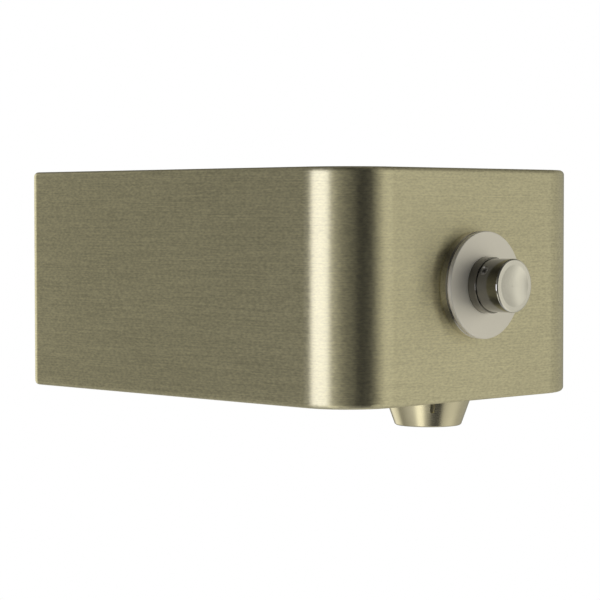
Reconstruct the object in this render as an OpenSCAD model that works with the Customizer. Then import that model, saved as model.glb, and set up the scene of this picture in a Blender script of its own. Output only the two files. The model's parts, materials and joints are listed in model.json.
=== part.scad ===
// Wall-mounted bottle filling station with a push button on its front face.
// The wall is the plane Y = 0, the front face looks along -Y and +Z is up.
// The origin is the centre of the four wall bolts, on the back of the bracket.

/* [Shroud] */
// Width of the folded steel shroud
body_w = 178; // [172:1:220]
// Depth of the shroud, from the wall to its front face
body_d = 238; // [215:1:300]
// Height of the shroud
body_h = 114; // [112:1:150]
// Thickness of the shroud's sheet
sheet_t = 1.5; // [1:0.1:2]
// Outside radius of the two upright front corners
corner_r = 30; // [20:1:45]
// Outside radius of the two upright rear bends
rear_bend_r = 6; // [4.5:0.5:8]
// Outside radius of the top and bottom edges
edge_r = 2.5; // [2.2:0.1:3.5]
// Width of the rear return that lies on the wall
rear_return_w = 14; // [11:1:18]
// Width of the bottom return that frames the bottom plate
bottom_return_w = 10; // [9:0.5:12]

/* [Push button] */
// Outside diameter of the escutcheon
escutcheon_d = 52.6; // [46:0.2:64]
// Thickness of the escutcheon's base ring
escutcheon_base_t = 4.5; // [3.5:0.1:6]
// Thickness of the escutcheon's front ring
escutcheon_ring_t = 2.7; // [2.2:0.1:4]
// Outside diameter of the guide sleeve round the button
sleeve_d = 27.5; // [25:0.1:30]
// Reach of the guide sleeve in front of the escutcheon
sleeve_reach = 4.6; // [3:0.1:6]
// Distance from the shroud's face to the front of the button cap
cap_reach = 25; // [23:0.5:30]
// Width of the flat rim round the dish in the cap's face
dish_rim_w = 1.9; // [1:0.1:4]
// Depth of the dish in the cap's face
dish_depth = 1.5; // [0.5:0.1:2.5]
// Travel of the button
travel = 5; // [3:0.5:5.5]

/* [Push valve] */
// Diameter of the valve's barrel
barrel_d = 34; // [32:0.5:38]
// Width across the flats of the valve's shoulder
shoulder_af = 40; // [36:1:46]
// Diameter of the valve's stem
stem_d = 6; // [5:0.2:6.6]
// Diameter of the bore through the valve's seat
seat_bore_d = 10; // [9:0.2:11]

/* [Nozzle] */
// Outside diameter of the nozzle's tip
nozzle_tip_d = 33; // [31:0.5:38]
// Outside diameter of the nozzle's root, under the bottom plate
nozzle_root_d = 42.2; // [39:0.2:46]
// Drop of the nozzle below the shroud
nozzle_drop = 13.6; // [12.6:0.2:18]

/* [Water way] */
// Outside diameter of the water tubes
tube_d = 8; // [7:0.2:8.4]
// Wall of the water tubes
tube_wall = 1; // [0.6:0.1:1.4]
// Bend radius of the supply tube, to its centre line
tube_bend_r = 16; // [14:0.5:22]
// Straight length of tube between the bend and the valve's nut
tube_lead = 2; // [1:0.5:8]

/* [Service stop] */
// Diameter of the inlet's threaded bore
inlet_d = 15.2; // [12:0.2:17]
// Diameter of the stop's ball
ball_d = 16; // [14.5:0.5:17]

/* [Wall bracket] */
// Thickness of the bracket's plate
bracket_t = 2; // [1.5:0.1:2.5]
// Distance from the ends of the bracket to its wall bolts
bolt_end_x = 9; // [7:0.5:12]
// Distance from the bracket's upper and lower bends to its wall bolts
bolt_end_z = 8; // [6:0.5:10]
// Diameter of the wall bolt holes
bolt_hole_d = 7; // [5:0.5:8]

/* [Hidden] */
$fn = 64;

// Overrun of every cut past the face that it opens
over = 1;
// Gap between pieces that don't move against each other
fit_gap = 0.2;
// Radial gap of a thread that is drawn plain
thread_gap = 0.1;
// Radial gap of a running fit
run_gap = 0.08;
// Gap between curved faces that pass each other
clear_gap = 0.3;

// Radius of a hexagon's turned end face, as a share of half its width across the flats
hex_end_share = 0.96;

// Shroud: planes that other pieces line up with
bottom_z = -body_h / 2;
floor_z = bottom_z + sheet_t;
case_corner_x = body_w / 2 - corner_r;
case_corner_y = -body_d + corner_r;
case_rear_x = body_w / 2 - rear_bend_r;
case_rear_y = -rear_bend_r;
rear_open_w = body_w - 2 * rear_return_w;
rear_open_h = body_h - 2 * rear_return_w;
rear_open_r = 4;
bottom_open_w = body_w - 2 * bottom_return_w;
bottom_open_r = 5;

// Bottom plate, the tabs that it is screwed to and its screws
plate_gap = 0.4;
tab_l = 20;
tab_w = 14;
tab_t = 2;
tab_wall_gap = 1.5;
tab_lap = bottom_return_w - sheet_t - tab_wall_gap;
tab_end_gap = 50;
tab_front_y = tab_end_gap - body_d;
tab_rear_y = -tab_end_gap;
tab_x = bottom_open_w / 2 - (tab_l - tab_lap) / 2;
screw_d = 4;
screw_l = 8;
screw_head_d = 7.6;
screw_head_h = (screw_head_d - screw_d) / 2;
screw_key_af = 2.5;
screw_key_depth = 1.3;
screw_pin_d = 1;

// Wall bracket
bracket_margin = 1;
bracket_w = rear_open_w - 2 * bracket_margin;
bracket_h = rear_open_h - 2 * bracket_margin;
bracket_corner_r = 4;
joggle = sheet_t + clear_gap;
joggle_run = 4;
joggle_l = 3;
joggle_lap = 4;
plate_h = bracket_h - 2 * joggle_run;
bolt_x = bracket_w / 2 - bolt_end_x;
bolt_z = plate_h / 2 - bolt_end_z;
tongue_inset = 24;
tongue_w = bracket_w - 2 * tongue_inset;
tongue_reach = 9;
leg_w = 20;
leg_inset = 29;
leg_x = bracket_w / 2 - leg_inset;
leg_l = 13;
leg_bend = 1.5;
cover_screw_back = 8;

// Escutcheon
escutcheon_t = escutcheon_base_t + escutcheon_ring_t;
rim_groove = 0.7;
rim_groove_t = 0.4;
rim_chamfer = 0.3;
ring_recess_t = 1;
rim_w = 3;
ring_recess_d = escutcheon_d - 2 * rim_w;
sleeve_end = escutcheon_t + sleeve_reach;
lip_r = 0.25;
sleeve_wall = 0.6;

// Push valve, as depths behind the shroud's face
gasket_t = 1;
shoulder_t = 5;
shoulder_depth = sheet_t + gasket_t;
cap_floor_depth = 7;
gland_l = 6;
gland_d = 14;
oring_l = 2.2;
oring_wire = 1.9;
gland_floor_t = 6.6;
outlet_chamber_l = 18;
outlet_chamber_depth = cap_floor_depth + gland_l + oring_l + gland_floor_t;
outlet_chamber_d = 22;
outlet_port_depth = outlet_chamber_depth + outlet_chamber_l / 2;
seat_wall_depth = outlet_chamber_depth + outlet_chamber_l;
seat_wall_t = 4;
inlet_chamber_depth = seat_wall_depth + seat_wall_t;
inlet_chamber_l = 20;
inlet_chamber_d = 24;
inlet_port_depth = inlet_chamber_depth + inlet_chamber_l / 2;
barrel_end_depth = inlet_chamber_depth + inlet_chamber_l;
seat_lip_h = 1;
seat_lip_w = 1.2;
seat_gap = 0.1;

// Button cap
cap_d = sleeve_d - 2 * (sleeve_wall + run_gap);
cap_edge_r = 1;
cap_wall = 1.8;
cap_block_l = 14.5;
cap_block_end = cap_reach - cap_block_l;
cap_stop_gap = 0.3;
cap_skirt_end = -cap_floor_depth + travel + cap_stop_gap;
cap_socket_l = 9;
cap_screw_back = 10.4;
cap_screw_angle = 35;
grub_d = 4.8;
grub_key_af = 2.5;
grub_key_depth = 2.4;
grub_sink = 0.5;
dish_r = cap_d / 2 - cap_edge_r - dish_rim_w;
dish_ball_r = (pow(dish_r, 2) + pow(dish_depth, 2)) / (2 * dish_depth);

// Stem, poppet, end plug and the two springs
stem_top = cap_block_end + cap_socket_l - fit_gap;
washer_t = 2;
washer_depth = inlet_chamber_depth + seat_lip_h + seat_gap;
washer_margin = 2.5;
washer_d = seat_bore_d + 2 * washer_margin;
poppet_margin = 0.5;
poppet_d = washer_d + 2 * poppet_margin;
poppet_t = 3;
poppet_depth = washer_depth + washer_t;
spigot_pin_d = 6.8;
spigot_pin_l = 3;
plug_thread_l = 5;
plug_seal_t = 1;
plug_head_af = 30;
plug_head_t = 6;
plug_pocket_d = 12.4;
plug_pocket_l = 7;
spring_seat_gap = 0.1;
return_wire = 1.3;
return_side_gap = 2;
return_coil_d = cap_d - 2 * (cap_wall + return_side_gap) - return_wire;
return_turns = 5;
poppet_wire = 1;
poppet_coil_d = 9.8;
poppet_turns = 6;
return_spring_l = cap_floor_depth + cap_block_end - 2 * spring_seat_gap;
poppet_spring_end = barrel_end_depth - plug_thread_l + plug_pocket_l;
poppet_spring_l = poppet_spring_end - poppet_depth - poppet_t - 2 * spring_seat_gap;
coil_rings = 8;
coil_sides = 6;
closed_gap = 0.5;

// Compression fittings: the spigot's end is the origin of each fitting
waterway_d = tube_d - 2 * tube_wall;
spigot_wall = 2.5;
spigot_d = tube_d + 2 * spigot_wall;
spigot_l = 5.5;
socket_l = 4.5;
socket_gap = 0.1;
port_boss_wall = 2;
port_boss_d = spigot_d + 2 * port_boss_wall;
port_boss_l = 1;
nut_wall = 1.5;
nut_af = spigot_d + 2 * nut_wall;
nut_lap = 4.2;
nut_wall_t = 2.3;
ferrule_l = 2.2;
nut_cavity_l = ferrule_l + fit_gap;
nut_end = nut_cavity_l + nut_wall_t;
ferrule_tip_share = 0.45;
port_spigot_end = barrel_d / 2 + port_boss_l + spigot_l;
supply_offset = port_spigot_end + nut_end + tube_lead + tube_bend_r;

// Nozzle, hung on the bottom plate under the valve's outlet
nozzle_gasket_t = 0.8;
nozzle_gasket_inset = 1;
nozzle_top_z = bottom_z - nozzle_gasket_t;
nozzle_tip_z = bottom_z - nozzle_drop;
nozzle_tip_edge = 0.5;
shank_d = 20;
nozzle_washer_t = 1;
nozzle_washer_d = 32;
nozzle_nut_t = 5;
nozzle_nut_af = 28;
shank_stand = 0.6;
shank_top_z = floor_z + nozzle_washer_t + nozzle_nut_t + shank_stand;
nozzle_spigot_z = shank_top_z + spigot_l;
mouth_d = 26;
mouth_l = 2.5;
insert_d = 23;
retainer_t = 1.5;
retainer_bore_d = 19;
nozzle_roof_t = 1.7;
insert_l = nozzle_drop - nozzle_gasket_t - mouth_l - retainer_t - nozzle_roof_t;
mixing_d = 18;
mixing_l = 2.5;
jet_d = 1.5;
jet_pitch = 2.8;
jet_rings = 3;
notch_w = 2.2;
notch_l = 5.6;
notch_depth = 1.8;
notch_angle = -132;

// Service stop, as distances from the wall
stop_spigot_d = 22;
stop_flange_d = 32;
stop_flange_t = 4;
stop_lug_r = 5.5;
stop_lug_reach = 18;
stop_barrel_d = 26;
inlet_l = 12;
strainer_t = 1;
strainer_ledge = 1.1;
strainer_d = inlet_d - 2 * strainer_ledge;
strainer_hole_d = 1.6;
strainer_rim_w = 0.9;
strainer_rings = 2;
strainer_pitch = (strainer_d / 2 - strainer_hole_d / 2 - strainer_rim_w) / strainer_rings;
stop_web_l = 9;
stop_chamber_wall = 2.2;
stop_chamber_d = ball_d + 2 * stop_chamber_wall;
ball_bore_d = 8;
stop_flange_back = bracket_t;
stop_chamber_start = inlet_l + stop_web_l;
seat_back_l = 3;
ball_center = stop_chamber_start + seat_back_l + ball_d / 2;
seat_reach = 7;
tail_start = ball_center + seat_reach;
tail_thread_l = 6;
stop_barrel_end = tail_start + tail_thread_l;
tail_hex_af = 24;
tail_hex_t = 6;
tail_spigot_end = stop_barrel_end + tail_hex_t + spigot_l;
stop_stem_d = 8;
stop_neck_d = 18;
stop_neck_end = 20;
stop_gland_d = 12.2;
stop_gland_l = 4;
stop_gland_head_af = 14;
stop_gland_head_t = 4;
stop_oring_l = 2;
stop_oring_wire = 1.7;
stop_stem_end = 27;
tang_w = 2;
tang_l = 3;
driver_slot_w = 1.4;
driver_slot_depth = 2;
stop_screw_d = 3;
stop_screw_head_d = 5.6;
stop_screw_head_h = 2;

// Finishes
STEEL = [0.64, 0.61, 0.52];
CHROME = [0.83, 0.82, 0.79];
NICKEL = [0.72, 0.69, 0.58];
BRASS = [0.78, 0.64, 0.34];
ZINC = [0.70, 0.71, 0.72];
RUBBER = [0.13, 0.13, 0.13];
FIBRE = [0.62, 0.24, 0.18];
NYLON = [0.90, 0.89, 0.85];
COPPER = [0.76, 0.45, 0.32];

// Frames: each puts its child's +Z along the axis that it names
module at_front() translate([0, -body_d, 0]) rotate([90, 0, 0]) children();
module at_nozzle() translate([0, outlet_port_depth - body_d, 0]) children();
module at_valve_outlet() at_nozzle() rotate([180, 0, 0]) children();
module at_valve_inlet() translate([0, inlet_port_depth - body_d, 0]) rotate([0, -90, 0]) children();
module at_supply() translate([-supply_offset, 0, 0]) rotate([90, 0, 0]) children();
module at_stop_ball() at_supply() translate([0, 0, ball_center]) children();
module at_stop_stem() translate([-supply_offset, -ball_center, 0]) rotate([180, 0, 0]) children();

// Stands its child at the end of each of the four compression spigots
module at_each_fitting() {
  at_valve_inlet() translate([0, 0, port_spigot_end]) children();
  at_valve_outlet() translate([0, 0, port_spigot_end]) children();
  at_nozzle() translate([0, 0, nozzle_spigot_z]) children();
  at_supply() translate([0, 0, tail_spigot_end]) children();
}

// Ring between two radii and two heights
module ring(inner_d, outer_d, z0, z1) {
  rotate_extrude() translate([inner_d / 2, z0]) square([(outer_d - inner_d) / 2, z1 - z0]);
}

// Round bar between two heights
module bar(d, z0, z1) translate([0, 0, z0]) cylinder(d = d, h = z1 - z0);

// Hexagon bar between two heights, with its corners turned down at both ends
module hex_bar(af, z0, z1) {
  corner_r = af / 2 / cos(30);
  end_r = af / 2 * hex_end_share;
  turn_down = (corner_r - end_r) * tan(30);
  intersection() {
    translate([0, 0, z0]) cylinder(r = corner_r, h = z1 - z0, $fn = 6);
    rotate_extrude() polygon([
      [0, z0], [end_r, z0], [corner_r, z0 + turn_down],
      [corner_r, z1 - turn_down], [end_r, z1], [0, z1]
    ]);
  }
}

// Hexagon key socket, sunk from height z1 by a depth
module key_socket(af, z1, depth) {
  translate([0, 0, z1 - depth]) cylinder(d = af / cos(30), h = depth + over, $fn = 6);
}

// Countersunk screw with a pinned socket: its head is flush with height 0 and faces down
module pinned_screw(length) {
  difference() {
    union() {
      cylinder(d1 = screw_head_d, d2 = screw_d, h = screw_head_h);
      bar(screw_d, 0, length);
    }
    mirror([0, 0, 1]) difference() {
      key_socket(screw_key_af, 0, screw_key_depth);
      bar(screw_pin_d, -screw_key_depth - over, 0);
    }
  }
}

// Clearance for the head of a countersunk screw
module screw_sink() {
  sink_d = screw_head_d + 2 * fit_gap;
  bar(sink_d, -over, 0);
  cylinder(d1 = sink_d, d2 = screw_d + 2 * fit_gap, h = screw_head_h);
}

// Half outline of the case: a bar from the axis out to radius r, with both outer corners rounded
module case_section(inset, r) {
  h = body_h - 2 * inset;
  e = edge_r - inset;
  translate([0, -h / 2]) square([r - e, h]);
  translate([0, e - h / 2]) square([r, h - 2 * e]);
  for (side = [-1, 1]) translate([r - e, side * (h / 2 - e)]) circle(e);
}

// Straight stretch of the case that runs to -Y, with its rounded side facing +X
module case_run(inset, r, length) {
  rotate([90, 0, 0]) linear_extrude(length) case_section(inset, r);
}

// The case as a solid, inset all round: straight stretches, four turned corners and a middle
module case_solid(inset) {
  front_r = corner_r - inset;
  rear_r = rear_bend_r - inset;
  side_l = case_rear_y - case_corner_y;
  translate([-case_corner_x, case_corner_y, inset - body_h / 2])
    cube([2 * case_corner_x, side_l, body_h - 2 * inset]);
  for (side = [0, 1]) mirror([side, 0, 0]) {
    translate([case_corner_x, case_rear_y, 0]) case_run(inset, front_r, side_l);
    translate([case_corner_x, case_corner_y, 0]) rotate([0, 0, -90])
      rotate_extrude(angle = 90) case_section(inset, front_r);
    translate([case_rear_x, case_rear_y, 0])
      rotate_extrude(angle = 90) case_section(inset, rear_r);
  }
  translate([case_corner_x, case_corner_y, 0]) rotate([0, 0, -90])
    case_run(inset, front_r, 2 * case_corner_x);
  translate([-case_rear_x, case_rear_y, 0]) rotate([0, 0, 90])
    case_run(inset, rear_r, 2 * case_rear_x);
}

// Plan of the bottom opening, grown or shrunk by a margin
module bottom_plan(margin) {
  w = bottom_open_w + 2 * margin;
  front_r = corner_r - bottom_return_w + margin;
  rear_r = bottom_open_r + margin;
  front_y = -body_d + bottom_return_w - margin;
  rear_y = -rear_return_w + margin;
  translate([-w / 2, front_y + front_r]) square([w, rear_y - rear_r - front_y - front_r]);
  translate([front_r - w / 2, front_y]) square([w - 2 * front_r, rear_y - front_y - rear_r]);
  translate([rear_r - w / 2, rear_y - 2 * rear_r]) square([w - 2 * rear_r, 2 * rear_r]);
  for (side = [-1, 1]) {
    translate([side * (w / 2 - front_r), front_y + front_r]) circle(front_r);
    translate([side * (w / 2 - rear_r), rear_y - rear_r]) circle(rear_r);
  }
}

// Rectangle in the wall's plane with round corners, as a slab from the wall to a depth
module wall_slab(w, h, r, d0, d1) {
  translate([0, -d0, 0]) rotate([90, 0, 0]) linear_extrude(d1 - d0) {
    square([w - 2 * r, h], center = true);
    square([w, h - 2 * r], center = true);
    for (sx = [-1, 1], sz = [-1, 1]) translate([sx * (w / 2 - r), sz * (h / 2 - r)]) circle(r);
  }
}

// Places of the bottom plate's four screws, at the height of the plate's underside
module at_plate_screws() {
  for (side = [-1, 1], y = [tab_rear_y, tab_front_y]) translate([side * tab_x, y, bottom_z]) children();
}

// Places of the two screws that pull the shroud down onto the bracket
module at_cover_screws() {
  for (side = [-1, 1]) translate([side * leg_x, -cover_screw_back, bottom_z]) children();
}

// Folded shroud: sides, front and top in one sheet, with rear and bottom returns
module shroud() {
  color(STEEL) difference() {
    case_solid(0);
    case_solid(sheet_t);
    translate([0, 0, bottom_z - over]) linear_extrude(sheet_t + 2 * over) bottom_plan(0);
    wall_slab(rear_open_w, rear_open_h, rear_open_r, -over, sheet_t + over);
    at_front() bar(sleeve_d + 2 * fit_gap, -sheet_t - over, over);
    at_cover_screws() screw_sink();
  }
}

// Four tabs welded on the bottom return, each with a thread for one plate screw
module plate_tabs() {
  color(STEEL) difference() {
    for (side = [-1, 1], y = [tab_rear_y, tab_front_y])
      translate([side * (bottom_open_w / 2 + tab_lap - tab_l / 2), y, floor_z + tab_t / 2])
        cube([tab_l, tab_w, tab_t], center = true);
    at_plate_screws() {
      screw_sink();
      bar(screw_d + 2 * thread_gap, 0, sheet_t + tab_t + over);
    }
  }
}

// Plate that closes the shroud from below and carries the nozzle
module bottom_plate() {
  color(STEEL) difference() {
    translate([0, 0, bottom_z]) linear_extrude(sheet_t) bottom_plan(-plate_gap);
    at_plate_screws() screw_sink();
    at_nozzle() bar(shank_d + 2 * fit_gap, bottom_z - over, floor_z + over);
  }
}

module bottom_screws() color(ZINC) at_plate_screws() pinned_screw(screw_l);

module cover_screws() color(ZINC) at_cover_screws() pinned_screw(screw_l);

// Outlines in the (distance from wall, height) plane, as wide as w
module across(w) translate([w / 2, 0, 0]) rotate([90, 0, -90]) linear_extrude(w) children();

// Tongue that the shroud's top return hooks over
module bracket_tongue() {
  z0 = plate_h / 2;
  z1 = z0 + joggle_l;
  z2 = z1 + tongue_reach;
  across(tongue_w) polygon([
    [0, z0 - joggle_lap], [bracket_t, z0 - joggle_lap], [bracket_t, z0], [joggle + bracket_t, z1],
    [joggle + bracket_t, z2], [joggle, z2], [joggle, z1], [0, z0]
  ]);
}

// Leg that turns forward over the shroud's bottom return
module bracket_leg() {
  z0 = -plate_h / 2;
  z1 = z0 - joggle_l;
  across(leg_w) polygon([
    [0, z0 + joggle_lap], [0, z0], [joggle, z1], [joggle, floor_z + leg_bend], [joggle + leg_bend, floor_z],
    [leg_l, floor_z], [leg_l, floor_z + bracket_t], [joggle + bracket_t, floor_z + bracket_t],
    [joggle + bracket_t, z1], [bracket_t, z0], [bracket_t, z0 + joggle_lap]
  ]);
}

// Wall bracket: plate, tongue at the top and two legs at the bottom
module wall_bracket() {
  color(ZINC) difference() {
    union() {
      wall_slab(bracket_w, plate_h, bracket_corner_r, 0, bracket_t);
      bracket_tongue();
      for (side = [-1, 1]) translate([side * leg_x, 0, 0]) bracket_leg();
    }
    for (sx = [-1, 1], sz = [-1, 1]) translate([sx * bolt_x, 0, sz * bolt_z])
      rotate([90, 0, 0]) bar(bolt_hole_d, -over, bracket_t + over);
    at_supply() bar(stop_spigot_d + 2 * fit_gap, -over, bracket_t + over);
    at_stop_screws() bar(stop_screw_d + 2 * thread_gap, -over, bracket_t + over);
    at_cover_screws() {
      screw_sink();
      bar(screw_d + 2 * thread_gap, 0, sheet_t + bracket_t + over);
    }
  }
}

// Spigot of a compression fitting: it ends at height 0 and is rooted in what lies below it
module spigot() bar(spigot_d, -spigot_l - over, 0);

// Socket and water way of a compression fitting, cut down to a depth
module spigot_bore(depth) {
  bar(tube_d + 2 * socket_gap, -socket_l, over);
  bar(waterway_d, -depth, over);
}

// Valve body: guide sleeve and neck through the shroud, shoulder, barrel and two ports
module valve_body() {
  port_bore_l = port_spigot_end - inlet_chamber_d / 2 + barrel_d / 4;
  color(BRASS) difference() {
    union() {
      at_front() {
        bar(sleeve_d, -shoulder_depth - shoulder_t / 2, sleeve_end - lip_r);
        bar(sleeve_d - 2 * lip_r, sleeve_end - 2 * lip_r, sleeve_end);
        rotate_extrude() translate([sleeve_d / 2 - lip_r, sleeve_end - lip_r]) circle(lip_r);
        hex_bar(shoulder_af, -shoulder_depth - shoulder_t, -shoulder_depth);
        bar(barrel_d, -barrel_end_depth, -shoulder_depth - shoulder_t / 2);
      }
      at_valve_inlet() translate([0, 0, port_spigot_end]) {
        spigot();
        bar(port_boss_d, -port_spigot_end, -spigot_l);
      }
      at_valve_outlet() translate([0, 0, port_spigot_end]) {
        spigot();
        bar(port_boss_d, -port_spigot_end, -spigot_l);
      }
    }
    at_front() {
      bar(cap_d + 2 * run_gap, -cap_floor_depth, sleeve_end + over);
      bar(gland_d, -cap_floor_depth - gland_l, 0);
      bar(stem_d + 2 * (oring_wire + run_gap + thread_gap), -cap_floor_depth - gland_l - oring_l, 0);
      bar(stem_d + 2 * clear_gap, -outlet_chamber_depth - over, 0);
      bar(outlet_chamber_d, -seat_wall_depth, -outlet_chamber_depth);
      bar(seat_bore_d, -inlet_chamber_depth - seat_lip_h - over, -seat_wall_depth + over);
      difference() {
        bar(inlet_chamber_d, -barrel_end_depth - over, -inlet_chamber_depth);
        bar(seat_bore_d + 2 * seat_lip_w, -inlet_chamber_depth - seat_lip_h, 0);
      }
    }
    at_valve_inlet() translate([0, 0, port_spigot_end]) spigot_bore(port_bore_l);
    at_valve_outlet() translate([0, 0, port_spigot_end]) spigot_bore(port_bore_l);
  }
}

module valve_gasket() {
  color(FIBRE) at_front() ring(sleeve_d + 2 * fit_gap, shoulder_af, -shoulder_depth, -sheet_t);
}

// Base ring of the escutcheon, screwed on the valve's neck against the shroud
module escutcheon_base() {
  r = escutcheon_d / 2;
  bore_r = sleeve_d / 2 + thread_gap;
  land_r = ring_recess_d / 2 - thread_gap;
  land_top = escutcheon_base_t + ring_recess_t - fit_gap;
  color(CHROME) at_front() rotate_extrude() polygon([
    [bore_r, 0], [r - rim_chamfer, 0], [r, rim_chamfer], [r, escutcheon_base_t - rim_groove_t - rim_chamfer],
    [r - rim_chamfer, escutcheon_base_t - rim_groove_t], [r - rim_groove, escutcheon_base_t - rim_groove_t],
    [r - rim_groove, escutcheon_base_t], [land_r, escutcheon_base_t], [land_r, land_top],
    [bore_r, land_top]
  ]);
}

// Front ring of the escutcheon, pushed over the base ring
module escutcheon_ring() {
  r = escutcheon_d / 2;
  bore_r = sleeve_d / 2 + thread_gap;
  recess_top = escutcheon_base_t + ring_recess_t;
  color(CHROME) at_front() rotate_extrude() polygon([
    [ring_recess_d / 2, escutcheon_base_t], [r - rim_groove, escutcheon_base_t],
    [r, escutcheon_base_t + rim_groove], [r, escutcheon_t - rim_chamfer], [r - rim_chamfer, escutcheon_t],
    [bore_r, escutcheon_t], [bore_r, recess_top], [ring_recess_d / 2, recess_top]
  ]);
}

// Stands its child on the cap's grub screw: +Z points out of the cap's side
module at_cap_screw() {
  at_front() translate([0, 0, cap_reach - cap_screw_back]) rotate([0, 0, 180 - cap_screw_angle])
    rotate([0, 90, 0]) children();
}

// Button cap: solid block with a dished face and a skirt that slides in the sleeve
module button_cap() {
  r = cap_d / 2;
  color(CHROME) difference() {
    at_front() {
      bar(cap_d, cap_skirt_end, cap_reach - cap_edge_r);
      bar(cap_d - 2 * cap_edge_r, cap_reach - 2 * cap_edge_r, cap_reach);
      rotate_extrude() translate([r - cap_edge_r, cap_reach - cap_edge_r]) circle(cap_edge_r);
    }
    at_front() {
      bar(cap_d - 2 * cap_wall, cap_skirt_end - over, cap_block_end);
      bar(stem_d + 2 * thread_gap, cap_skirt_end, cap_block_end + cap_socket_l);
      translate([0, 0, cap_reach + dish_ball_r - dish_depth]) sphere(dish_ball_r);
    }
    at_cap_screw() bar(grub_d + 2 * thread_gap, 0, r + over);
  }
}

// Headless screw between two radii of the piece that it is screwed into
module grub_screw(r0, r1) {
  difference() {
    bar(grub_d, r0, r1);
    key_socket(grub_key_af, r1, grub_key_depth);
  }
}

module cap_set_screw() {
  color(ZINC) at_cap_screw() grub_screw(stem_d / 2 + fit_gap, cap_d / 2 - grub_sink);
}

// Stem and poppet in one turned piece, with a pin that centres the poppet's spring
module stem() {
  color(ZINC) at_front() {
    bar(stem_d, -poppet_depth - poppet_t / 2, stem_top);
    bar(poppet_d, -poppet_depth - poppet_t, -poppet_depth);
    bar(spigot_pin_d, -poppet_depth - poppet_t - spigot_pin_l, -poppet_depth - poppet_t / 2);
  }
}

module poppet_washer() {
  color(RUBBER) at_front() ring(stem_d + 2 * thread_gap, washer_d, -poppet_depth, -washer_depth);
}

// Bush that guides the stem and holds its O-ring down
module stem_guide() {
  color(NYLON) at_front()
    ring(stem_d + 2 * run_gap, gland_d - 2 * thread_gap, -cap_floor_depth - gland_l, -cap_floor_depth);
}

// O-ring of a given wire round a shaft, centred on height z
module oring(shaft_d, wire, z) {
  rotate_extrude() translate([(shaft_d + wire) / 2 + run_gap, z]) circle(d = wire);
}

module stem_oring() {
  color(RUBBER) at_front() oring(stem_d, oring_wire, -cap_floor_depth - gland_l - oring_l / 2);
}

// Height of a coil at turn t: the first and last turns are closed, the rest share what is left
function coil_z(t, turns, length, wire) =
  let (closed = wire + closed_gap, span = length - wire, open_step = (span - 2 * closed) / (turns - 2))
  wire / 2 + (t < 1 ? t * closed
    : t > turns - 1 ? span - (turns - t) * closed
    : closed + (t - 1) * open_step);

// Ring of points round the wire at turn t
function coil_ring(t, coil_d, turns, length, wire) =
  [for (k = [0:coil_sides - 1]) let (a = 360 * k / coil_sides, r = (coil_d + wire * cos(a)) / 2)
    [r * cos(360 * t), r * sin(360 * t), coil_z(t, turns, length, wire) + wire / 2 * sin(a)]];

// Least gap between one turn and the next, measured between the wires' centres
function coil_gap(turns, length, wire) =
  min([for (k = [0:coil_rings * (turns - 1)])
    coil_z(k / coil_rings + 1, turns, length, wire) - coil_z(k / coil_rings, turns, length, wire)]) - wire;

// Compression spring on the Z axis, from height 0 up to its length
module coil_spring(coil_d, turns, length, wire) {
  count = coil_rings * turns;
  points = [for (k = [0:count]) each coil_ring(k / coil_rings, coil_d, turns, length, wire)];
  sides = [for (k = [0:count - 1], j = [0:coil_sides - 1])
    let (a = k * coil_sides + j, b = k * coil_sides + (j + 1) % coil_sides)
    each [[a, b, a + coil_sides], [b, b + coil_sides, a + coil_sides]]];
  caps = [for (j = [1:coil_sides - 2]) each
    [[0, j + 1, j], [count * coil_sides, count * coil_sides + j, count * coil_sides + j + 1]]];
  polyhedron(points, concat(sides, caps));
}

module return_spring() {
  color(ZINC) at_front() translate([0, 0, spring_seat_gap - cap_floor_depth])
    coil_spring(return_coil_d, return_turns, return_spring_l, return_wire);
}

module poppet_spring() {
  color(ZINC) at_front() translate([0, 0, spring_seat_gap - poppet_spring_end])
    coil_spring(poppet_coil_d, poppet_turns, poppet_spring_l, poppet_wire);
}

// Plug that closes the barrel's rear end and seats the poppet's spring
module end_plug() {
  head_top = -barrel_end_depth - plug_seal_t;
  color(BRASS) at_front() difference() {
    union() {
      bar(inlet_chamber_d - 2 * thread_gap, head_top - over, -barrel_end_depth + plug_thread_l);
      hex_bar(plug_head_af, head_top - plug_head_t, head_top);
    }
    bar(plug_pocket_d, -poppet_spring_end, over - barrel_end_depth + plug_thread_l);
  }
}

module plug_seal() {
  color(FIBRE) at_front()
    ring(inlet_chamber_d, plug_head_af, -barrel_end_depth - plug_seal_t, -barrel_end_depth);
}

// Radius of the nozzle's cone at height z
function nozzle_r(z) =
  (nozzle_tip_d + (nozzle_root_d - nozzle_tip_d) * (z - nozzle_tip_z) / (nozzle_top_z - nozzle_tip_z)) / 2;

// Two notches for a pin spanner, open at the nozzle's top and round at their lower end
module spanner_notches() {
  round_z = nozzle_top_z - notch_l + notch_w / 2;
  floor_r = nozzle_r(round_z) - notch_depth;
  for (turn = [0, 180]) rotate([0, 0, notch_angle + turn]) translate([floor_r, 0, round_z]) {
    rotate([0, 90, 0]) bar(notch_w, 0, nozzle_root_d / 2);
    translate([0, -notch_w / 2, 0]) cube([nozzle_root_d / 2, notch_w, notch_l]);
  }
}

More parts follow.
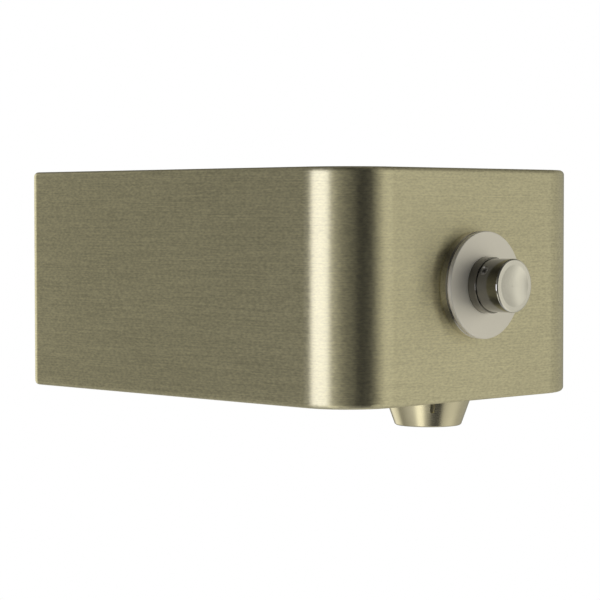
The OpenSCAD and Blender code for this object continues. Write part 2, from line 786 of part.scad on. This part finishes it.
// Tapered nozzle with its threaded shank through the bottom plate
module nozzle() {
  edge_z = nozzle_tip_z + nozzle_tip_edge;
  mouth_top = nozzle_tip_z + mouth_l;
  insert_top = mouth_top + retainer_t + insert_l;
  color(NICKEL) difference() {
    at_nozzle() {
      translate([0, 0, edge_z])
        cylinder(r1 = nozzle_r(edge_z), r2 = nozzle_r(nozzle_top_z), h = nozzle_top_z - edge_z);
      translate([0, 0, nozzle_tip_z])
        cylinder(r1 = nozzle_tip_d / 2 - nozzle_tip_edge, r2 = nozzle_r(edge_z), h = nozzle_tip_edge);
      bar(shank_d, nozzle_top_z - over, shank_top_z);
      translate([0, 0, nozzle_spigot_z]) spigot();
    }
    at_nozzle() {
      bar(mouth_d, nozzle_tip_z - over, mouth_top);
      bar(insert_d, nozzle_tip_z, insert_top);
      bar(mixing_d, nozzle_tip_z, insert_top + mixing_l);
      translate([0, 0, nozzle_spigot_z]) spigot_bore(nozzle_spigot_z - insert_top);
    }
    at_nozzle() spanner_notches();
  }
}

module nozzle_gasket() {
  color(RUBBER) at_nozzle()
    ring(shank_d + 2 * fit_gap, nozzle_root_d - 2 * nozzle_gasket_inset, nozzle_top_z, bottom_z);
}

module nozzle_washer() {
  color(ZINC) at_nozzle()
    ring(shank_d + 2 * fit_gap, nozzle_washer_d, floor_z, floor_z + nozzle_washer_t);
}

module nozzle_nut() {
  z0 = floor_z + nozzle_washer_t;
  color(BRASS) at_nozzle() difference() {
    hex_bar(nozzle_nut_af, z0, z0 + nozzle_nut_t);
    bar(shank_d + 2 * thread_gap, z0 - over, z0 + nozzle_nut_t + over);
  }
}

// Holes in rings of six, twelve, eighteen and so on round a middle one
module hole_field(d, pitch, rings, z0, z1) {
  bar(d, z0, z1);
  for (n = [1:rings], k = [0:6 * n - 1])
    rotate([0, 0, 60 * k / n]) translate([n * pitch, 0, 0]) bar(d, z0, z1);
}

// Insert that calms the water into one clear stream
module flow_straightener() {
  z0 = nozzle_tip_z + mouth_l + retainer_t;
  color(NYLON) at_nozzle() difference() {
    bar(insert_d - 2 * thread_gap, z0, z0 + insert_l);
    hole_field(jet_d, jet_pitch, jet_rings, z0 - over, z0 + insert_l + over);
  }
}

module straightener_ring() {
  z0 = nozzle_tip_z + mouth_l;
  color(ZINC) at_nozzle() ring(retainer_bore_d, insert_d - 2 * thread_gap, z0, z0 + retainer_t);
}

// Straight tube from the valve's outlet down to the nozzle
module outlet_tube() {
  z0 = nozzle_spigot_z - socket_l + fit_gap;
  z1 = socket_l - port_spigot_end - fit_gap;
  color(COPPER) at_nozzle() ring(waterway_d, tube_d, z0, z1);
}

// Cross-section of a tube at a distance from the axis that it bends round
module tube_section(r) {
  translate([r, 0]) difference() {
    circle(d = tube_d);
    circle(d = waterway_d);
  }
}

// Supply tube: forward from the service stop, then one bend into the valve's side
module supply_tube() {
  start_y = -tail_spigot_end + socket_l - fit_gap;
  bend_y = inlet_port_depth - body_d + tube_bend_r;
  bend_x = tube_bend_r - supply_offset;
  end_x = socket_l - port_spigot_end - fit_gap;
  color(COPPER) {
    translate([-supply_offset, start_y, 0]) rotate([90, 0, 0])
      linear_extrude(start_y - bend_y) tube_section(0);
    translate([bend_x, bend_y, 0]) rotate([0, 0, 180])
      rotate_extrude(angle = 90) tube_section(tube_bend_r);
    translate([bend_x, bend_y - tube_bend_r, 0]) rotate([0, 90, 0])
      linear_extrude(end_x - bend_x) tube_section(0);
  }
}

// Nut of a compression fitting, over its spigot and its ferrule
module compression_nut() {
  difference() {
    hex_bar(nut_af, -nut_lap, nut_end);
    bar(spigot_d + 2 * thread_gap, -nut_lap - over, nut_cavity_l);
    bar(tube_d + 2 * socket_gap, 0, nut_end + over);
  }
}

module compression_nuts() color(BRASS) at_each_fitting() compression_nut();

// Tapered ring that the nut squeezes onto the tube
module ferrules() {
  r0 = tube_d / 2 + socket_gap;
  r1 = spigot_d / 2;
  tip_r = r0 + (r1 - r0) * ferrule_tip_share;
  color(BRASS) at_each_fitting() rotate_extrude() polygon([
    [r0, 0], [r1, 0], [r1, ferrule_l / 2], [tip_r, ferrule_l], [r0, ferrule_l]
  ]);
}

// Places of the two screws that hold the stop to the bracket, at the bracket's front
module at_stop_screws() {
  at_supply() for (side = [-1, 1]) translate([0, side * stop_lug_reach, 0]) children();
}

// Service stop: inlet through the bracket, lugged flange, ball chamber and stem neck
module stop_body() {
  flange_top = stop_flange_back + stop_flange_t;
  color(BRASS) difference() {
    union() {
      at_supply() {
        bar(stop_spigot_d, fit_gap, flange_top);
        translate([0, 0, stop_flange_back]) linear_extrude(stop_flange_t) {
          circle(d = stop_flange_d);
          square([2 * stop_lug_r, 2 * stop_lug_reach], center = true);
          for (side = [-1, 1]) translate([0, side * stop_lug_reach]) circle(stop_lug_r);
        }
        bar(stop_barrel_d, flange_top - over, stop_barrel_end);
      }
      at_stop_stem() bar(stop_neck_d, 0, stop_neck_end);
    }
    at_supply() {
      bar(inlet_d, -over, inlet_l);
      bar(strainer_d + 2 * fit_gap, 0, inlet_l + strainer_t);
      bar(ball_bore_d, 0, stop_barrel_end);
      bar(stop_chamber_d, stop_chamber_start, stop_barrel_end + over);
    }
    at_stop_stem() {
      bar(stop_stem_d + 2 * run_gap, 0, stop_neck_end + over);
      bar(stop_stem_d + 2 * (stop_oring_wire + run_gap + thread_gap),
        stop_neck_end - stop_gland_l - stop_oring_l, stop_neck_end + over);
      bar(stop_gland_d, stop_neck_end - stop_gland_l, stop_neck_end + over);
    }
    at_stop_screws() bar(stop_screw_d + 2 * fit_gap, 0, flange_top + over);
  }
}

// Outlet end of the stop, screwed in behind the ball
module stop_tail() {
  color(BRASS) at_supply() difference() {
    union() {
      bar(stop_chamber_d - 2 * thread_gap, tail_start, stop_barrel_end + over);
      hex_bar(tail_hex_af, stop_barrel_end, stop_barrel_end + tail_hex_t);
      translate([0, 0, tail_spigot_end]) spigot();
    }
    bar(ball_bore_d, tail_start - over, stop_barrel_end);
    translate([0, 0, tail_spigot_end]) spigot_bore(tail_spigot_end - tail_start);
    translate([0, 0, ball_center]) sphere(d = ball_d + 2 * clear_gap);
  }
}

// Ball with its bore along the water way and a slot for the stem's tang
module stop_ball() {
  slot_floor = ball_d / 2 - tang_l;
  color(CHROME) difference() {
    at_stop_ball() difference() {
      sphere(d = ball_d);
      bar(ball_bore_d, -ball_d, ball_d);
    }
    at_stop_stem() translate([-ball_d, -tang_w / 2, slot_floor]) cube([2 * ball_d, tang_w, ball_d]);
  }
}

// Stem that turns the ball, with a screwdriver slot at its lower end
module stop_stem() {
  slot_floor = ball_d / 2 - tang_l;
  tang_t = tang_w - 2 * thread_gap;
  color(ZINC) at_stop_stem() difference() {
    union() {
      bar(stop_stem_d, ball_d / 2 + fit_gap, stop_stem_end);
      intersection() {
        translate([-stop_stem_d, -tang_t / 2, slot_floor + fit_gap])
          cube([2 * stop_stem_d, tang_t, tang_l + over]);
        bar(stop_stem_d, 0, ball_d);
      }
    }
    translate([-stop_stem_d, -driver_slot_w / 2, stop_stem_end - driver_slot_depth])
      cube([2 * stop_stem_d, driver_slot_w, driver_slot_depth + over]);
  }
}

// Two seat rings that cup the ball, one on each side
module stop_seats() {
  seat_d = stop_chamber_d - 2 * thread_gap;
  seat_inner_end = stop_stem_d / 2 + fit_gap;
  color(NYLON) at_supply() difference() {
    union() {
      ring(ball_bore_d, seat_d, stop_chamber_start, ball_center - seat_inner_end);
      ring(ball_bore_d, seat_d, ball_center + seat_inner_end, tail_start);
    }
    translate([0, 0, ball_center]) sphere(d = ball_d + 2 * clear_gap);
  }
}

// Gland that holds the stem's O-ring in the neck
module stop_gland() {
  color(BRASS) at_stop_stem() difference() {
    union() {
      bar(stop_gland_d - 2 * thread_gap, stop_neck_end - stop_gland_l, stop_neck_end + over);
      hex_bar(stop_gland_head_af, stop_neck_end, stop_neck_end + stop_gland_head_t);
    }
    bar(stop_stem_d + 2 * run_gap, 0, stop_stem_end);
  }
}

module stop_oring() {
  color(RUBBER) at_stop_stem()
    oring(stop_stem_d, stop_oring_wire, stop_neck_end - stop_gland_l - stop_oring_l / 2);
}

module stop_screws() {
  flange_top = stop_flange_back + stop_flange_t;
  color(ZINC) at_stop_screws() difference() {
    union() {
      bar(stop_screw_d, fit_gap, flange_top + over);
      bar(stop_screw_head_d, flange_top, flange_top + stop_screw_head_h);
    }
    key_socket(screw_key_af, flange_top + stop_screw_head_h, stop_screw_head_h / 2);
  }
}

// Perforated disc in a recess under the inlet's thread
module inlet_strainer() {
  color(ZINC) at_supply() difference() {
    bar(strainer_d, inlet_l, inlet_l + strainer_t);
    hole_field(strainer_hole_d, strainer_pitch, strainer_rings, inlet_l - over, inlet_l + strainer_t + over);
  }
}

// Least gap between the turns of each spring
echo(return_spring_gap = coil_gap(return_turns, return_spring_l, return_wire));
echo(poppet_spring_gap = coil_gap(poppet_turns, poppet_spring_l, poppet_wire));

shroud();
plate_tabs();
bottom_plate();
bottom_screws();
wall_bracket();
cover_screws();
valve_body();
valve_gasket();
escutcheon_base();
escutcheon_ring();
button_cap();
cap_set_screw();
stem();
poppet_washer();
stem_guide();
stem_oring();
return_spring();
poppet_spring();
end_plug();
plug_seal();
nozzle();
nozzle_gasket();
nozzle_washer();
nozzle_nut();
flow_straightener();
straightener_ring();
outlet_tube();
supply_tube();
compression_nuts();
ferrules();
stop_body();
stop_tail();
stop_ball();
stop_stem();
stop_seats();
stop_gland();
stop_oring();
stop_screws();
inlet_strainer();
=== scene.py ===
"""Bottle filling station: camera, studio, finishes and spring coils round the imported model."""

import json
import math

import bpy
from mathutils import Matrix, Vector

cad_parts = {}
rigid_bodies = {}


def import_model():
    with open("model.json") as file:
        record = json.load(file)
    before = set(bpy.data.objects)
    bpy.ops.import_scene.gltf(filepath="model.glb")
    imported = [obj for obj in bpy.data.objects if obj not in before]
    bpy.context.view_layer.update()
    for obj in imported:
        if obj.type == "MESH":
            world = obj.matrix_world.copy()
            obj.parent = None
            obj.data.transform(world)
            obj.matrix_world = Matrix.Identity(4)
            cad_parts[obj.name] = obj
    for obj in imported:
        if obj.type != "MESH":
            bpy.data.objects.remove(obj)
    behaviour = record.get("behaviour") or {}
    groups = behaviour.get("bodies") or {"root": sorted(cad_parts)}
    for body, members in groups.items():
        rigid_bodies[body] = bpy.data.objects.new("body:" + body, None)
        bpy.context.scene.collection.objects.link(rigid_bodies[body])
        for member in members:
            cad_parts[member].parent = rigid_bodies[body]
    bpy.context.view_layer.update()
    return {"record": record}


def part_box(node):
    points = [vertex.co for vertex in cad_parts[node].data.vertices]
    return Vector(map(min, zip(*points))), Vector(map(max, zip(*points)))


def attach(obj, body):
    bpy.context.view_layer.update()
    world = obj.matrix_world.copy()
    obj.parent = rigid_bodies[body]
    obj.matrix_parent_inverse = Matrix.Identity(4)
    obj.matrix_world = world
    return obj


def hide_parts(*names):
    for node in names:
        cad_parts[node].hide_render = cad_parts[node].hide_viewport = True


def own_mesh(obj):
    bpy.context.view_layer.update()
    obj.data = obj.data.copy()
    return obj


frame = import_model()
scene = bpy.context.scene

# Sizes read from the frame
CASE_LEFT, CASE_FRONT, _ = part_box("shroud")[0]
NOZZLE_FRONT, NOZZLE_REAR = (corner[1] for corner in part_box("nozzle"))

# Axes that pieces were turned round, and a point on each
BUTTON_AXIS = (0, 1, 0)
ORIGIN = (0, 0, 0)
UPRIGHT_AXIS = (0, 0, 1)
NOZZLE_CENTRE = (0, (NOZZLE_FRONT + NOZZLE_REAR) / 2, 0)


def placed(name, data):
    """New object that shows the data, in the scene."""
    thing = bpy.data.objects.new(name, data)
    scene.collection.objects.link(thing)
    return thing


# Camera, fitted to the photograph: the case's outline, and the round edges of button and escutcheon
CAMERA_POS = (-0.81425, -0.93460, 0.03547)
CAMERA_YAW = 44.862          # degrees from +Y towards +X
CAMERA_PITCH = -2.300
CAMERA_ROLL = -0.045
CAMERA_LENS = 130.98         # millimetres, as the sensor is
CAMERA_SENSOR = 36
CAMERA_SEES_TO = 50          # metres

camera_data = bpy.data.cameras.new("photo_camera")
camera_data.lens = CAMERA_LENS
camera_data.sensor_width = CAMERA_SENSOR
camera_data.clip_end = CAMERA_SEES_TO
camera = placed("photo_camera", camera_data)
camera.matrix_world = (
    Matrix.Translation(CAMERA_POS)
    @ Matrix.Rotation(math.radians(-CAMERA_YAW), 4, "Z")
    @ Matrix.Rotation(math.radians(90 + CAMERA_PITCH), 4, "X")
    @ Matrix.Rotation(math.radians(CAMERA_ROLL), 4, "Z")
)
scene.camera = camera
scene.view_settings.view_transform = "Standard"

# The range that nearly all of a noise lies in
NOISE_LOW, NOISE_HIGH = 0.3, 0.7
# The places of a Mix node's factor and colour sockets
MIX_FACTOR, MIX_A, MIX_B, MIX_RESULT = 0, 6, 7, 2


class Tree:
    """A node tree that is written as nested calls."""

    def __init__(self, tree):
        self.tree = tree
        tree.nodes.clear()

    def add(self, kind, *sockets, **settings):
        """New node. Plain values feed its sockets in order.

        A named value sets the property of that name, or else feeds the socket of that name."""
        node = self.tree.nodes.new("ShaderNode" + kind)
        for key in [key for key in settings if hasattr(node, key)]:
            setattr(node, key, settings.pop(key))
        for place, value in enumerate(sockets):
            self.feed(node, place, value)
        for key, value in settings.items():
            self.feed(node, key.replace("_", " "), value)
        return node

    def feed(self, node, key, value):
        """Set a socket to a value, or link a socket or a node's first output to it."""
        socket = node.inputs[key]
        if isinstance(value, bpy.types.Node):
            value = value.outputs[0]
        if isinstance(value, bpy.types.NodeSocket):
            self.tree.links.new(value, socket)
        else:
            socket.default_value = value

    def coords(self):
        """Place on the object, which at rest is the place in the frame."""
        return self.add("TexCoord").outputs["Object"]

    def normal(self):
        return self.add("NewGeometry").outputs["Normal"]

    def xyz(self, vector):
        return self.add("SeparateXYZ", vector).outputs[:]

    def math(self, operation, *values):
        return self.add("Math", *values, operation=operation).outputs[0]

    def vector(self, operation, *values):
        node = self.add("VectorMath", *values, operation=operation)
        return node.outputs["Value" if operation in ("DOT_PRODUCT", "LENGTH") else "Vector"]

    def scaled(self, vector, factor):
        return self.add("VectorMath", vector, operation="SCALE", Scale=factor).outputs["Vector"]

    def remap(self, value, low, high, to_low, to_high, smooth=False):
        node = self.add("MapRange", value, low, high, to_low, to_high,
                        interpolation_type="SMOOTHSTEP" if smooth else "LINEAR")
        return node.outputs[0]

    def vary(self, noise, middle, width):
        """Value that follows a noise through a range of this width round its middle."""
        return self.remap(noise, NOISE_LOW, NOISE_HIGH, middle - width / 2, middle + width / 2)

    def noise(self, coords, scale, detail):
        return self.add("TexNoise", Vector=coords, Scale=scale, Detail=detail).outputs["Fac"]

    def ramp(self, value, stops):
        """Colour ramp through stops, each a position and a grey level or a colour."""
        node = self.add("ValToRGB", value)
        elements = node.color_ramp.elements
        while len(elements) < len(stops):
            elements.new(position=1)
        for element, (position, level) in zip(elements, stops):
            colour = level if isinstance(level, tuple) else (level,) * 3
            element.position = position
            element.color = (*colour, 1)
        return node.outputs["Color"]

    def mix(self, factor, a, b):
        """Mix of two colours or vectors."""
        node = self.add("Mix", data_type="RGBA")
        self.feed(node, MIX_FACTOR, factor)
        for place, value in ((MIX_A, a), (MIX_B, b)):
            self.feed(node, place, (*value, 1) if isinstance(value, tuple) else value)
        return node.outputs[MIX_RESULT]


def new_material(name):
    """New material, and its empty tree."""
    material = bpy.data.materials.new(name)
    material.use_nodes = True
    return material, Tree(material.node_tree)


# Studio: what the metal sees round the object, as pairs of a plan azimuth and a level.
# An azimuth is in degrees from +X towards +Y, so 180 is -X and 270 is -Y. A bright panel
# stands behind the object and a pale one at its front right, and the camera's side is dim.
PANORAMA = (
    (0, 0.44), (22, 0.34), (44, 0.12), (62, 0.14), (76, 1.05), (112, 1.05),
    (120, 0.30), (126, 0.18), (142, 0.18), (151, 0.32), (192, 0.32), (205, 0.22),
    (216, 0.15), (232, 0.15), (244, 0.18), (262, 0.26), (284, 0.28), (295, 0.74),
    (311, 0.80), (319, 0.64), (330, 0.50), (342, 0.46), (360, 0.44),
)
# The same for a lit table, which takes over well below the horizon
TABLE = (
    (0, 0.50), (60, 0.30), (100, 0.24), (123, 0.42), (157, 0.52),
    (174, 0.70), (184, 1.50), (200, 1.50), (212, 0.60), (226, 0.26),
    (268, 0.14), (280, 0.60), (300, 0.74), (330, 0.68), (360, 0.50),
)
# Heights on the unit sphere, between which the table comes in and the room darkens upwards
TABLE_STARTS, TABLE_FULL = -0.38, -0.58
CEILING_STARTS, CEILING_FULL = 0.25, 0.65
CEILING_SHARE = 0.26
ROOM_TINT = (1.0, 0.975, 0.86)
# The world is one even grey to a diffuse surface, and white to the camera
ROOM_FOR_DIFFUSE = (0.5, 0.5, 0.5)
WHITE = (1.0, 1.0, 1.0)
FULL_TURN = 2 * math.pi


def by_azimuth(tree, turn, levels):
    """Level at a share of a full turn, from pairs of an azimuth in degrees and a level."""
    return tree.ramp(turn, [(azimuth / 360, level) for azimuth, level in levels])


world = bpy.data.worlds.new("studio")
world.use_nodes = True
scene.world = world
sky = Tree(world.node_tree)
dx, dy, dz = sky.xyz(sky.add("TexCoord").outputs["Generated"])
turn = sky.math("FRACT", sky.math("DIVIDE", sky.math("ARCTAN2", dy, dx), FULL_TURN))
low_down = sky.remap(dz, TABLE_STARTS, TABLE_FULL, 0, 1, smooth=True)
around = sky.mix(low_down, by_azimuth(sky, turn, PANORAMA), by_azimuth(sky, turn, TABLE))
share_up = sky.remap(dz, CEILING_STARTS, CEILING_FULL, 1, CEILING_SHARE, smooth=True)
room = sky.scaled(sky.vector("MULTIPLY", around, ROOM_TINT), share_up)
ray = sky.add("LightPath").outputs
seen_in_metal = sky.math("MAXIMUM", ray["Is Glossy Ray"], ray["Is Transmission Ray"])
unseen = sky.mix(seen_in_metal, ROOM_FOR_DIFFUSE, room)
shown = sky.mix(ray["Is Camera Ray"], unseen, WHITE)
sky.add("OutputWorld", Surface=sky.add("Background", Color=shown, Strength=1))

# A point just inside the case's front left bend, which the lamp faces and the flag stands by
CORNER_FROM_LEFT, CORNER_FROM_FRONT = 0.009, 0.016
CORNER = Vector((CASE_LEFT + CORNER_FROM_LEFT, CASE_FRONT + CORNER_FROM_FRONT, 0))


def towards(azimuth, elevation=0):
    """Unit vector that points to an azimuth and an elevation in degrees."""
    a, e = math.radians(azimuth), math.radians(elevation)
    return Vector((math.cos(a) * math.cos(e), math.sin(a) * math.cos(e), math.sin(e)))


# Key lamp: a soft box at the object's left, whose power follows from its radiance
KEY_AZIMUTH, KEY_ELEVATION = 171.5, -6
KEY_DISTANCE = 1.6
KEY_WIDTH, KEY_HEIGHT = 1.06, 0.74
KEY_RADIANCE = 3.3
KEY_COLOUR = (0.97, 0.98, 1.15)

key_data = bpy.data.lights.new("key", "AREA")
key_data.shape = "RECTANGLE"
key_data.size = KEY_WIDTH
key_data.size_y = KEY_HEIGHT
key_data.energy = KEY_RADIANCE * math.pi * KEY_WIDTH * KEY_HEIGHT
key_data.color = KEY_COLOUR
key = placed("key", key_data)
to_key = towards(KEY_AZIMUTH, KEY_ELEVATION)
key.location = CORNER + to_key * KEY_DISTANCE
key.rotation_euler = to_key.to_track_quat("Z", "Y").to_euler()
key.visible_camera = False

# Flag: a black cloth that only the metal sees, which gives the bend its dark band
FLAG_FROM, FLAG_TO = 240, 278      # azimuths of its edges, seen from the corner
FLAG_DISTANCE = 0.36
FLAG_HALF_HEIGHT = Vector((0, 0, 0.5))
FLAG_BLACK = (0.05, 0.05, 0.05, 1)

flag_corners = []
for azimuth in (FLAG_FROM, FLAG_TO):
    edge_middle = CORNER + towards(azimuth) * FLAG_DISTANCE
    flag_corners += [edge_middle - FLAG_HALF_HEIGHT, edge_middle + FLAG_HALF_HEIGHT]
flag_mesh = bpy.data.meshes.new("flag")
flag_mesh.from_pydata(flag_corners, [], [(0, 1, 3, 2)])
flag_cloth, cloth = new_material("flag_cloth")
cloth.add("OutputMaterial", Surface=cloth.add("BsdfDiffuse", Color=FLAG_BLACK))
flag_mesh.materials.append(flag_cloth)
flag = placed("flag", flag_mesh)
flag.visible_camera = False
flag.visible_diffuse = False
flag.visible_shadow = False

# Floor: a disc of pale paper that fades out towards its rim, and isn't seen from below
FLOOR_CENTRE = (0, -0.13, -0.85)
FLOOR_R = 0.75
FLOOR_FADES_FROM = 0.4
FLOOR_SIDES = 64
FLOOR_WHITE = (0.86, 0.86, 0.86, 1)

rim_angles = [FULL_TURN * k / FLOOR_SIDES for k in range(FLOOR_SIDES)]
floor_rim = [(FLOOR_R * math.cos(angle), FLOOR_R * math.sin(angle), 0) for angle in rim_angles]
floor_mesh = bpy.data.meshes.new("floor")
floor_mesh.from_pydata(floor_rim, [], [tuple(range(FLOOR_SIDES))])
floor_paper, paper = new_material("floor_paper")
from_middle = paper.vector("LENGTH", paper.coords())
faded = paper.remap(from_middle, FLOOR_FADES_FROM, FLOOR_R, 0, 1, smooth=True)
clear = paper.math("MAXIMUM", faded, paper.add("NewGeometry").outputs["Backfacing"])
matt = paper.add("BsdfDiffuse", Color=FLOOR_WHITE)
paper.add("OutputMaterial", Surface=paper.add("MixShader", clear, matt, paper.add("BsdfTransparent")))
floor_mesh.materials.append(floor_paper)
floor = placed("floor", floor_mesh)
floor.location = FLOOR_CENTRE


# Finishes: a noise's scale is in waves per metre, and a bump's depth in metres
def principled(name, metallic=1.0, anisotropic=0.0):
    """New material with a Principled shader, which finish then feeds."""
    material, tree = new_material(name)
    shader = tree.add("BsdfPrincipled", Metallic=metallic, Anisotropic=anisotropic)
    tree.add("OutputMaterial", Surface=shader)
    return material, tree, shader


def finish(tree, shader, colour, roughness, height, depth, strength):
    """Feed a Principled shader's colour, roughness and bump."""
    tree.feed(shader, "Base Color", colour)
    tree.feed(shader, "Roughness", roughness)
    tree.feed(shader, "Normal", tree.add("Bump", Height=height, Distance=depth, Strength=strength))


def shades(base, darker, lighter):
    """Ramp stops from a darker to a lighter shade of a colour, over a noise's range."""
    dark, light = (tuple(min(c * share, 1) for c in base) for share in (darker, lighter))
    return [(NOISE_LOW, dark), (NOISE_HIGH, light)]


BRUSHED_STOPS = ((0.34, (0.56, 0.525, 0.36)), (0.66, (0.84, 0.79, 0.54)))
BRUSHED_ROUGHNESS, BRUSHED_WIDTH = 0.41, 0.10
BRUSHED_ANISOTROPY = 0.86
BRUSHED_DEPTH = 0.00006
MOTTLE_SHARE, MOTTLE_ALONG, MOTTLE_ACROSS = 0.6, 480, 1200
HAIR_SHARE, HAIR_ALONG, HAIR_ACROSS = 0.4, 26, 2600
SMUDGE_SCALE, SMUDGE_WIDTH = 14, 0.04
FLAT_FROM = 0.7                    # upright part of the normal of a face that lies flat


def brushed_steel():
    """Sheet brushed along the horizontal: fine streaks round the sides, along X on flat faces."""
    material, t, shader = principled("brushed_steel", anisotropic=BRUSHED_ANISOTROPY)
    coords, normal = t.coords(), t.normal()
    flat = t.math("GREATER_THAN", t.math("ABSOLUTE", t.xyz(normal)[2]), FLAT_FROM)

    def streaks(share, along, across):
        """Share of the brushing, from its scales along and across the streaks."""
        upright = t.noise(t.vector("MULTIPLY", coords, (along, along, across)), scale=1, detail=2)
        lying = t.noise(t.vector("MULTIPLY", coords, (along, across, along)), scale=1, detail=2)
        either = t.math("ADD", t.math("MULTIPLY", upright, t.math("SUBTRACT", 1, flat)),
                        t.math("MULTIPLY", lying, flat))
        return t.math("MULTIPLY", either, share)

    brushing = t.math("ADD", streaks(MOTTLE_SHARE, MOTTLE_ALONG, MOTTLE_ACROSS),
                      streaks(HAIR_SHARE, HAIR_ALONG, HAIR_ACROSS))
    smudge = t.noise(coords, SMUDGE_SCALE, detail=2)
    rough = t.math("ADD", t.vary(brushing, BRUSHED_ROUGHNESS, BRUSHED_WIDTH),
                   t.vary(smudge, 0, SMUDGE_WIDTH))
    colour = t.ramp(brushing, BRUSHED_STOPS)
    finish(t, shader, colour, rough, brushing, BRUSHED_DEPTH, strength=0.5)
    upwards = t.vector("CROSS_PRODUCT", normal, t.vector("CROSS_PRODUCT", UPRIGHT_AXIS, normal))
    t.feed(shader, "Tangent", t.vector("NORMALIZE", t.mix(flat, upwards, BUTTON_AXIS)))
    return material


GROOVE_SCALE, GROOVE_DEPTH = 5200, 0.000004
STAIN_SCALE, STAIN_WIDTH_SHARE = 60, 2 / 3
SIDE_TO, FACE_FROM = 0.35, 0.75    # part of the normal along the axis, on a side and on a face


def turned_metal(name, base, roughness, anisotropic, axis=BUTTON_AXIS, centre=ORIGIN,
                 width=0.06, stain=0.06, polished_side_and_painted_shade=None):
    """Turned metal: grooves round the axis, and faint stains in its colour.

    The grooves' roughness ranges over the width. polished_side_and_painted_shade gives, for the faces
    that run along the axis, a share of the colour, which is painted shade that darkens them, and their
    real lower roughness."""
    material, t, shader = principled(name, anisotropic=anisotropic)
    coords, normal = t.coords(), t.normal()
    arm = t.vector("SUBTRACT", coords, centre)
    round_axis = t.vector("CROSS_PRODUCT", axis, arm)
    along, radius = t.vector("DOT_PRODUCT", arm, axis), t.vector("LENGTH", round_axis)
    grooves = t.noise(t.add("CombineXYZ", along, radius, 0), GROOVE_SCALE, detail=2)
    patch = t.noise(coords, STAIN_SCALE, detail=4)
    colour = t.ramp(patch, shades(base, 1 - stain, 1 + stain))
    rough = t.math("ADD", t.vary(grooves, roughness, width), t.vary(patch, 0, width * STAIN_WIDTH_SHARE))
    if polished_side_and_painted_shade:
        painted_shade_share, side_roughness = polished_side_and_painted_shade
        facing = t.math("ABSOLUTE", t.vector("DOT_PRODUCT", normal, axis))
        face = t.remap(facing, SIDE_TO, FACE_FROM, 0, 1, smooth=True)
        # Painted shade: the colour of the faces along the axis is darkened by their share
        colour = t.scaled(colour, t.remap(face, 0, 1, painted_shade_share, 1))
        rough = t.math("MULTIPLY", rough, t.remap(face, 0, 1, side_roughness / roughness, 1))
    finish(t, shader, colour, rough, grooves, GROOVE_DEPTH, strength=0.5)
    across_grooves = t.vector("CROSS_PRODUCT", round_axis, normal)
    t.feed(shader, "Tangent", t.vector("NORMALIZE", across_grooves))
    return material


PATCHES_PER_GRAIN = 1 / 12


def plain_metal(name, base, roughness, grain_scale, depth=0.00001, stain=0.1):
    """Cast, drawn or plated metal with an even grain."""
    material, t, shader = principled(name)
    coords = t.coords()
    grain = t.noise(coords, grain_scale, detail=4)
    patch = t.noise(coords, grain_scale * PATCHES_PER_GRAIN, detail=3)
    colour = t.ramp(patch, shades(base, 1 - stain, 1 + stain))
    finish(t, shader, colour, t.vary(grain, roughness, width=0.1), grain, depth, strength=0.6)
    return material


def moulded(name, base, roughness, grain_scale, depth):
    """Rubber, fibre or plastic with a fine moulded grain."""
    material, t, shader = principled(name, metallic=0.0)
    grain = t.noise(t.coords(), grain_scale, detail=4)
    colour = t.ramp(grain, shades(base, darker=0.8, lighter=1.15))
    finish(t, shader, colour, t.vary(grain, roughness, width=0.16), grain, depth, strength=0.7)
    return material


# valve_chrome is darkened as painted shade: the valve's sleeve behind the button, which the photograph
# shows dark
TURNED = {
    "chrome": dict(base=(0.72, 0.69, 0.62), roughness=0.12, anisotropic=0.3),
    # button_chrome's sides along its axis: painted shade in their colour, and a real lower roughness
    "button_chrome": dict(base=(0.82, 0.80, 0.73), roughness=0.2, anisotropic=0.6,
                          polished_side_and_painted_shade=(0.45, 0.08)),
    "satin_chrome": dict(base=(0.95, 0.92, 0.85), roughness=0.56, anisotropic=0.2,
                         width=0.04, stain=0.02),
    # painted shade: a dark base colour instead of the chrome's own pale colour
    "valve_chrome": dict(base=(0.28, 0.27, 0.24), roughness=0.12, anisotropic=0.3),
    "satin_nickel": dict(base=(0.70, 0.65, 0.47), roughness=0.24, anisotropic=0.6,
                         axis=UPRIGHT_AXIS, centre=NOZZLE_CENTRE),
}
PLAIN = {
    "brass": dict(base=(0.72, 0.52, 0.22), roughness=0.34, grain_scale=900, depth=0.00002, stain=0.16),
    "copper": dict(base=(0.72, 0.36, 0.22), roughness=0.30, grain_scale=600, stain=0.2),
    "zinc_steel": dict(base=(0.56, 0.57, 0.58), roughness=0.42, grain_scale=260),
    "screw_steel": dict(base=(0.55, 0.54, 0.52), roughness=0.30, grain_scale=1500),
    "turned_steel": dict(base=(0.58, 0.57, 0.55), roughness=0.26, grain_scale=1500, depth=0.000008),
    "spring_steel": dict(base=(0.45, 0.44, 0.42), roughness=0.34, grain_scale=1200),
}
MOULDED = {
    "rubber": dict(base=(0.028, 0.028, 0.030), roughness=0.55, grain_scale=1400, depth=0.00002),
    "fibre_gasket": dict(base=(0.30, 0.055, 0.035), roughness=0.75, grain_scale=1800, depth=0.00003),
    "nylon": dict(base=(0.74, 0.72, 0.64), roughness=0.42, grain_scale=900, depth=0.00001),
}
finishes = {"brushed_steel": brushed_steel()}
for make, looks in ((turned_metal, TURNED), (plain_metal, PLAIN), (moulded, MOULDED)):
    for name, values in looks.items():
        finishes[name] = make(name, **values)

for row in frame["record"]["subparts"]:
    slots = bpy.data.objects[row["node"]].data.materials
    slots.clear()
    slots.append(finishes[row["material_slot"]])

# Springs: the CAD holds the two at their rest length; these coils are copies of them, attached to the
# housing, and stand in their place
press = next(joint for joint in frame["record"]["behaviour"]["joints"] if joint["name"] == "button_press")
for row in press["deforming_nodes"]:
    spring = bpy.data.objects[row["node"]]
    coil = placed(row["node"] + "_coil", spring.data.copy())
    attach(coil, "housing")
    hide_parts(row["node"])
    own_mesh(coil)
